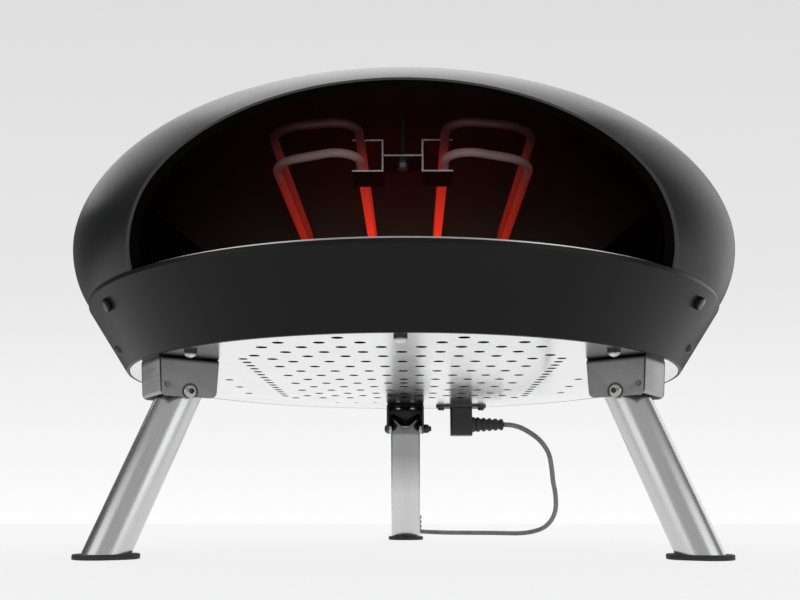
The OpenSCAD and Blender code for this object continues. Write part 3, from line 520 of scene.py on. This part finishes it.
def fired_clay(name, tones, size):
    clay, tree, shader = new_material(name)
    place = place_coordinates(tree)
    grit = speckle(tree, place, size, 6, 0.7)
    tree.links.new(ramp(tree, grit, [(0.35, tones[0]), (0.65, tones[1])]), shader.inputs["Base Color"])
    tree.links.new(spread(tree, grit, 0.75, 0.92), shader.inputs["Roughness"])
    raise_grain(tree, shader, grit, 0.4, 0.0002)
    return clay


cover(
    fired_clay("white_ceramic", [(0.7, 0.68, 0.62), (0.84, 0.82, 0.77)], 900),
    "terminal_block", "thermostat", "thermal_cutout",
)

braid, tree, shader = new_material("braided_sleeve")
weave = tree.nodes.new("ShaderNodeTexWave")
weave.inputs["Scale"].default_value = 380
weave.inputs["Distortion"].default_value = 1.5
weave.bands_direction = "DIAGONAL"
tree.links.new(place_coordinates(tree), weave.inputs["Vector"])
tree.links.new(
    ramp(tree, weave.outputs["Fac"], [(0.2, (0.34, 0.03, 0.02)), (0.8, (0.6, 0.09, 0.06))]),
    shader.inputs["Base Color"],
)
shader.inputs["Roughness"].default_value = 0.8
raise_grain(tree, shader, weave.outputs["Fac"], 0.5, 0.0002)
cover(braid, "internal_wiring")

# Skirt: a cone spun from 1.5 mm steel with an upright top band, powder coated in matte charcoal.
# Black hex bolts hold it to tabs under the floor, and small button screws hold the shield.


def powder_coat(name, tone, rough, shine):
    coat, tree, shader = new_material(name)
    place = place_coordinates(tree)
    peel = speckle(tree, place, 1700, 3, 0.6)
    patch = speckle(tree, place, 7, 4)
    dust = speckle(tree, place, 420, 2, 0.8)
    tone_map = ramp(
        tree, patch,
        [(0.3, tuple(0.92 * c for c in tone)), (0.7, tuple(1.08 * c for c in tone))],
    )
    tree.links.new(tone_map, shader.inputs["Base Color"])
    dullness = calculate(
        tree, "ADD", spread(tree, peel, rough - 0.05, rough + 0.05), spread(tree, dust, -0.02, 0.03)
    )
    tree.links.new(dullness, shader.inputs["Roughness"])
    raise_grain(tree, shader, peel, 0.22, 0.00005)
    shader.inputs["Specular IOR Level"].default_value = shine
    return coat


cover(powder_coat("charcoal_powder_coat", (0.0052, 0.0053, 0.0055), 0.34, 0.15), "skirt")
# Black finish of the skirt's bolts and screws; it also serves as painted shade on the rear pivot bolt and
# nut and in the hex sockets
black_oxide_and_shade = moulded_plastic("black_oxide_and_shade", (0.004, 0.004, 0.0042), 0.27, 0.00002)
hex_bolts = eased("skirt_bolts", "oven", black_oxide_and_shade, 0.0003)
cover(black_oxide_and_shade, "skirt_screws")

# Floor: a satin steel tray on a black gasket, its heater below,
# and a round baking stone on four pressed rests.

cover(
    brushed_metal("tray_steel", [(0.5, 0.5, 0.5), (0.64, 0.64, 0.64)], (0.28, 0.4), (10, 900, 900)),
    "floor_tray",
)
cover(moulded_plastic("seal_rubber", (0.012, 0.012, 0.012), 0.7), "tray_gasket")
cover(plated_steel, "stone_rests")
cover(fired_clay("baking_stone", [(0.42, 0.33, 0.22), (0.62, 0.53, 0.4)], 420), "baking_stone")
cover(
    brushed_metal("oxidised_tube", [(0.12, 0.09, 0.08), (0.26, 0.2, 0.17)], (0.4, 0.55), (300, 300, 300)),
    "base_heater",
)

# Cavity: its side wall with the ledge on top is steel sheet in black enamel, with a painted
# highlight on its edge that faces the front.


def enamel(name, tone, rough, shine):
    glaze, tree, shader = new_material(name)
    place = place_coordinates(tree)
    wave = speckle(tree, place, 55, 3, 0.5)
    film = speckle(tree, place, 9, 4)
    tree.links.new(
        ramp(tree, film, [(0.3, tuple(0.8 * c for c in tone)), (0.7, tuple(1.25 * c for c in tone))]),
        shader.inputs["Base Color"],
    )
    tree.links.new(spread(tree, film, rough - 0.04, rough + 0.06), shader.inputs["Roughness"])
    raise_grain(tree, shader, wave, 0.12, 0.0005)
    shader.inputs["Specular IOR Level"].default_value = shine
    return glaze


wall_enamel = enamel("black_enamel", (0.0012, 0.0012, 0.0013), 0.3, 0.0)
tree = wall_enamel.node_tree
# Faces that look to the front are painted grey, as a painted highlight on the front edge
overpaint(wall_enamel, spread(tree, facing(tree, "Y"), 1, 0, -0.99, -0.95), grey(0.06))
cover(wall_enamel, "cavity_wall")

# Ceiling heaters: sheathed tubes of 8 mm, in two layers, glowing red at the back and dull at the
# front bends. They lie in a bracket of two channels that hangs from the ceiling on a stud.

between_pairs_z = 0.352
glowing_sheath, tree, shader = new_material("glowing_sheath")
place = place_coordinates(tree)
axes = split_axes(tree, place)
scale_spots = speckle(tree, place, 500, 5, 0.7)
dull_front = ramp(tree, scale_spots, [(0.3, (0.17, 0.135, 0.125)), (0.7, (0.26, 0.205, 0.19))])
hot_back = ramp(tree, scale_spots, [(0.3, (0.12, 0.075, 0.075)), (0.7, (0.2, 0.13, 0.13))])
above = spread(tree, axes["Z"], 0, 1, between_pairs_z - 0.002, between_pairs_z + 0.002)
bend_tone = mix_tones(tree, above, dull_front, (0.06, 0.02, 0.023))
behind_bends = spread(tree, axes["Y"], 0, 1, -0.13, -0.07)
tree.links.new(mix_tones(tree, behind_bends, bend_tone, hot_back), shader.inputs["Base Color"])
shader.inputs["Roughness"].default_value = 0.55
outwards = calculate(tree, "ABSOLUTE", axes["X"])
heat_share = calculate(
    tree, "MULTIPLY", spread(tree, outwards, 1.0, 0.35, 0.06, 0.1),
    spread(tree, axes["Z"], 1.0, 0.55, between_pairs_z - 0.002, between_pairs_z + 0.002),
)
glow_colour = ramp(
    tree, spread(tree, axes["Y"], 0.0, 1.0, -0.15, 0.1),
    [(0.0, (0.006, 0.001, 0.001)), (0.15, (0.04, 0.004, 0.004)), (0.4, (0.26, 0.008, 0.005)),
     (1.0, (0.55, 0.02, 0.006))],
)
tree.links.new(mix_tones(tree, heat_share, grey(0), glow_colour), shader.inputs["Emission Color"])
shader.inputs["Emission Strength"].default_value = 1.35
raise_grain(tree, shader, scale_spots, 0.3, 0.0001)
cover(
    glowing_sheath, "heater_upper_left", "heater_upper_right", "heater_lower_left", "heater_lower_right"
)

scaled_sheet, tree, shader = new_material("scaled_sheet")
tint = speckle(tree, place_coordinates(tree), 260, 4)
sheet_tone = ramp(tree, tint, [(0.3, (0.008, 0.006, 0.006)), (0.7, (0.02, 0.014, 0.013))])
# The sheet's edges that face the front are painted light grey, as a painted highlight
edge_highlight_tone = ramp(tree, tint, [(0.3, (0.4, 0.38, 0.37)), (0.7, (0.56, 0.53, 0.51))])
front_edge_highlight = spread(tree, facing(tree, "Y"), 1.0, 0.0, -0.95, -0.7)
tree.links.new(mix_tones(tree, front_edge_highlight, sheet_tone, edge_highlight_tone), shader.inputs["Base Color"])
tree.links.new(spread(tree, tint, 0.4, 0.6), shader.inputs["Roughness"])
shader.inputs["Metallic"].default_value = 0.4
raise_grain(tree, shader, tint, 0.2, 0.0001)
cover(scaled_sheet, "heater_bracket")

soot, tree, shader = new_material("sooted_stud")
tint = speckle(tree, place_coordinates(tree), 400, 4)
soot_tone = ramp(tree, tint, [(0.3, (0.012, 0.007, 0.006)), (0.7, (0.022, 0.013, 0.011))])
tree.links.new(soot_tone, shader.inputs["Base Color"])
tree.links.new(spread(tree, tint, 0.6, 0.8), shader.inputs["Roughness"])
cover(soot, "hanger_stud")

# Dome: a shell spun from 1.5 mm steel, powder coated as the skirt, with a painted highlight round
# the mouth, and the thin enamelled liner inside it. A black channel closes the two at the mouth.

dome_r = 0.311
dome_z = 0.268
dome_rise = 0.147
dome_sheet = 0.0015
dome_wall = 0.006
liner_sheet = 0.001
mouth_r = 0.249
mouth_y = -0.024 + axis_y
mouth_z = 0.385
seam_r = 0.294
seam_z = 0.216
ledge_z = 0.264
edge_r = ((dome_r - seam_r) ** 2 + (dome_z - seam_z) ** 2) / (2 * (dome_r - seam_r))
edge_angle = math.asin((dome_z - seam_z) / edge_r)
lower_share = 36
side_fullness = 2.58
top_fullness = 1.82


def dome_point(rise_angle, depth):
    if rise_angle < 0:
        a = rise_angle / math.radians(lower_share) * edge_angle
        return dome_r - edge_r + (edge_r - depth) * math.cos(a), dome_z + (edge_r - depth) * math.sin(a)
    across = max(math.cos(rise_angle), 0) ** (2 / side_fullness)
    up = math.sin(rise_angle) ** (2 / top_fullness)
    return (dome_r - depth) * across, dome_z + (dome_rise - depth) * up


def spun_shell(name, depth, sheet, mouth_back, lowest):
    bpy.ops.object.select_all(action="DESELECT")
    bpy.ops.mesh.primitive_uv_sphere_add(segments=200, ring_count=80, radius=1)
    shell = bpy.context.object
    shell.name = name
    for vertex in shell.data.vertices:
        rise_angle = math.asin(max(-1.0, min(1.0, vertex.co.z)))
        flat = math.hypot(vertex.co.x, vertex.co.y)
        across, up = dome_point(rise_angle, depth)
        if flat < 1e-5:
            vertex.co = (0, axis_y, up)
        else:
            vertex.co = (vertex.co.x / flat * across, vertex.co.y / flat * across + axis_y, up)
    bpy.ops.object.mode_set(mode="EDIT")
    bpy.ops.mesh.select_mode(type="VERT")
    bpy.ops.mesh.select_all(action="DESELECT")
    bpy.ops.object.mode_set(mode="OBJECT")
    for vertex in shell.data.vertices:
        vertex.select = vertex.co.z < seam_z - 0.003
    bpy.ops.object.mode_set(mode="EDIT")
    bpy.ops.mesh.delete(type="VERT")
    bpy.ops.mesh.select_all(action="SELECT")
    bpy.ops.mesh.bisect(plane_co=(0, 0, lowest), plane_no=(0, 0, 1), clear_inner=True)
    bpy.ops.mesh.select_all(action="SELECT")
    bpy.ops.mesh.remove_doubles(threshold=0.00001)
    bpy.ops.object.mode_set(mode="OBJECT")
    wall_of_shell = shell.modifiers.new("sheet", "SOLIDIFY")
    wall_of_shell.thickness = sheet
    wall_of_shell.offset = -1
    wall_of_shell.use_even_offset = True
    bpy.ops.object.modifier_apply(modifier="sheet")

    bpy.ops.object.select_all(action="DESELECT")
    bpy.ops.mesh.primitive_cylinder_add(
        vertices=400, radius=mouth_r - mouth_back, depth=1.0, location=(0, mouth_y, mouth_z),
        rotation=(0, math.pi / 2, 0),
    )
    drum = bpy.context.object
    bpy.ops.object.select_all(action="DESELECT")
    bpy.ops.mesh.primitive_cube_add(size=1, location=(0, mouth_y - 0.25, 0.3), scale=(0.8, 0.5, 0.6))
    front = bpy.context.object
    for cutter in (drum, front):
        cutter.select_set(True)
    bpy.ops.object.transform_apply(location=True, rotation=True, scale=True)
    bpy.context.view_layer.objects.active = front
    hollow = front.modifiers.new("hollow", "BOOLEAN")
    hollow.operation = "DIFFERENCE"
    hollow.object = drum
    bpy.ops.object.modifier_apply(modifier="hollow")
    bpy.ops.object.select_all(action="DESELECT")
    shell.select_set(True)
    bpy.context.view_layer.objects.active = shell
    mouth = shell.modifiers.new("mouth", "BOOLEAN")
    mouth.operation = "DIFFERENCE"
    mouth.object = front
    bpy.ops.object.modifier_apply(modifier="mouth")
    for cutter in (drum, front):
        bpy.data.objects.remove(cutter)
    bpy.ops.object.shade_smooth_by_angle(angle=math.radians(30))
    return shell


shell = spun_shell("dome_shell", 0, dome_sheet, 0, seam_z + 0.0002)
dome_paint = powder_coat("dome_powder_coat", (0.0058, 0.0059, 0.0061), 0.36, 0.2)
tree = dome_paint.node_tree
mouth_centre = (0, mouth_y, mouth_z)
from_centre = distance_from(tree, mouth_centre, (0, 1, 1))
backwards = split_axes(tree, place_coordinates(tree, centre=mouth_centre))["Y"]
# A thin band along the edge of the mouth is painted lighter, as a painted highlight
rim_highlight = calculate(
    tree, "MULTIPLY", spread(tree, from_centre, 0, 1, mouth_r - 0.0009, mouth_r - 0.0001),
    calculate(tree, "LESS_THAN", backwards, -0.02),
)
overpaint(dome_paint, rim_highlight, grey(0.03))
shell.data.materials.clear()
shell.data.materials.append(dome_paint)
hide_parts("outer_dome")
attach(shell, "oven")

liner = spun_shell("ceiling_lining", dome_wall - liner_sheet, liner_sheet, 0.003, ledge_z + 0.0015)
liner.data.materials.clear()
browned_and_lit_enamel = enamel("ceiling_enamel", (0.022, 0.012, 0.01), 0.55, 0.05)
tree = browned_and_lit_enamel.node_tree
# Low at the back the brown enamel is painted paler and greener, as a painted pool of light
low_at_back = (0, 0.2, 0.27)
from_back = distance_from(tree, low_at_back)
overpaint(browned_and_lit_enamel, spread(tree, from_back, 1, 0, 0.08, 0.32), (0.08, 0.085, 0.07))
liner.data.materials.append(browned_and_lit_enamel)
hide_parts("ceiling_liner")
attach(liner, "oven")
cover(enamel("frame_enamel", (0.002, 0.0016, 0.0015), 0.6, 0.0), "mouth_frame")

# Legs: satin 35 mm stainless tubes with a rubber foot, each in a bracket of 2 mm stainless folded
# over it and bolted under the base, with a pivot bolt, its lock nut and a stop pin. The pivot bolt
# and nut are bright; on the rear leg, and in the hex sockets of the heads, black is painted as shade.

leg_angles = {"left": -55, "right": 55, "rear": 180}
leg_splay = 22.5
pivot_r = 0.225
pivot_z = 0.1305
bracket_half = 0.022
bracket_sheet = 0.002
bracket_h = 0.032
bracket_top_out = 0.252
bracket_bottom_out = 0.2494
bracket_lean = (bracket_top_out - bracket_bottom_out) / bracket_h
fold_x = bracket_top_out - pivot_r - bracket_lean * (base_z - pivot_z)


def leg_turn(angle, tilt):
    out = Matrix.Rotation(math.radians(angle - 90), 4, "Z")
    return out @ Matrix.Rotation(math.radians(-tilt), 4, "Y")


def leg_place(angle):
    return (
        Matrix.Translation((0, axis_y, 0))
        @ Matrix.Rotation(math.radians(angle - 90), 4, "Z")
        @ Matrix.Translation((pivot_r, 0, pivot_z))
    ).to_translation()


# Brushed along the tube; the rear leg has painted shade towards its bracket
def leg_finish(side, angle):
    steel = brushed_metal(
        "leg_steel_" + side, [(0.6, 0.6, 0.605), (0.68, 0.68, 0.685)], (0.24, 0.3), (1400, 1400, 22),
        leg_turn(angle, leg_splay).to_euler(), leg_place(angle), 0.07,
    )
    if side == "rear":
        shade_above(steel, 0.055, 0.1, 0.5)
        shade_above(steel, 0.1215, 0.1245, 0.5)
    return steel


# Brushed across the leg, with painted shade on its two cheeks and along the fold, a painted shadow
# ring round the pivot bolt and painted shade under the base; the rear bracket is painted dark as shade
def bracket_finish(side, angle):
    tones = [(0.38, 0.38, 0.385), (0.52, 0.52, 0.525)]
    # The rear bracket lies deep under the base and is painted dark all over as shade
    if side == "rear":
        tones = [(0.08, 0.08, 0.082), (0.13, 0.13, 0.132)]
    turn = leg_turn(angle, 0).to_euler()
    centre = leg_place(angle)
    steel = brushed_metal("bracket_steel_" + side, tones, (0.5, 0.6), (1200, 14, 1200), turn, centre, 0.12)
    shade_above(steel, base_z - 0.0045, base_z - 0.0015, 0.05)
    tree = steel.node_tree
    axes = split_axes(tree, place_coordinates(tree, (1, 1, 1), turn, centre))
    sideways = calculate(tree, "ABSOLUTE", axes["Y"])
    # The two cheeks are painted darker than the face across the leg, as painted shade
    shaded_cheeks = spread(tree, sideways, 0, 1, bracket_half - 0.0025, bracket_half - 0.0015)
    overpaint(steel, shaded_cheeks, grey(0.58), "MULTIPLY")
    out_from_lean = calculate(tree, "MULTIPLY_ADD", axes["Z"], -bracket_lean, axes["X"])
    # A painted shade line along the fold
    fold_shade = calculate(
        tree, "MULTIPLY", spread(tree, sideways, 0, 1, bracket_half - 0.0012, bracket_half - 0.0007),
        spread(tree, out_from_lean, 0, 1, fold_x - 0.0012, fold_x - 0.0007),
    )
    from_pivot = distance_from(tree, centre, (1, 0, 1), turn)
    # A painted shadow ring round the pivot bolt
    pivot_shadow = spread(tree, from_pivot, 0.8, 0, 0.0062, 0.0074)
    overpaint(steel, calculate(tree, "MAXIMUM", fold_shade, pivot_shadow), grey(0.03))
    return steel


hex_socket_r = 0.00245


# Tells whether a place lies in the hex socket in the head of a pivot bolt
def in_hex_socket(place):
    for side, angle in leg_angles.items():
        to_head = leg_turn(angle, 0).col[1].to_3d() * (-1 if side == "right" else 1)
        offset = place - leg_place(angle)
        reach = offset.dot(to_head)
        aside = (offset - to_head * reach).length
        if aside < hex_socket_r and reach > bracket_half - bracket_sheet:
            return True
    return False


for side, angle in leg_angles.items():
    cover(leg_finish(side, angle), "leg_tube_" + side)
    bracket = eased("bracket_" + side, "oven", bracket_finish(side, angle), 0.0004)
    cover(plated_steel, "leg_sleeve_" + side)
    sole = eased(
        "foot_pad_" + side, "leg_" + side,
        moulded_plastic("foot_rubber_" + side, (0.012, 0.012, 0.012), 0.6, 0.0001), 0.0008,
    )

# The pivot bolt and nut behind this line are the rear leg's
rear_y = 0.1
# The rear pivot bolt and nut, and the hex sockets in the bolt heads, take the black finish as painted
# shade
for name in ("bracket_bolts", "bracket_nuts", "pivot_bolts", "pivot_nuts"):
    fastener = eased(name, "oven", plated_steel, 0.0003)
    if name in ("pivot_bolts", "pivot_nuts"):
        fastener.data.materials.append(black_oxide_and_shade)
        for face in fastener.data.polygons:
            shaded_socket = name == "pivot_bolts" and in_hex_socket(face.center)
            if face.center.y > rear_y or shaded_socket:
                face.material_index = 1
pin_steel = brushed_metal(
    "pin_steel", [(0.1, 0.1, 0.102), (0.16, 0.16, 0.163)], (0.3, 0.4), (200, 200, 200)
)
cover(pin_steel, "stop_pins")

bpy.context.view_layer.update()
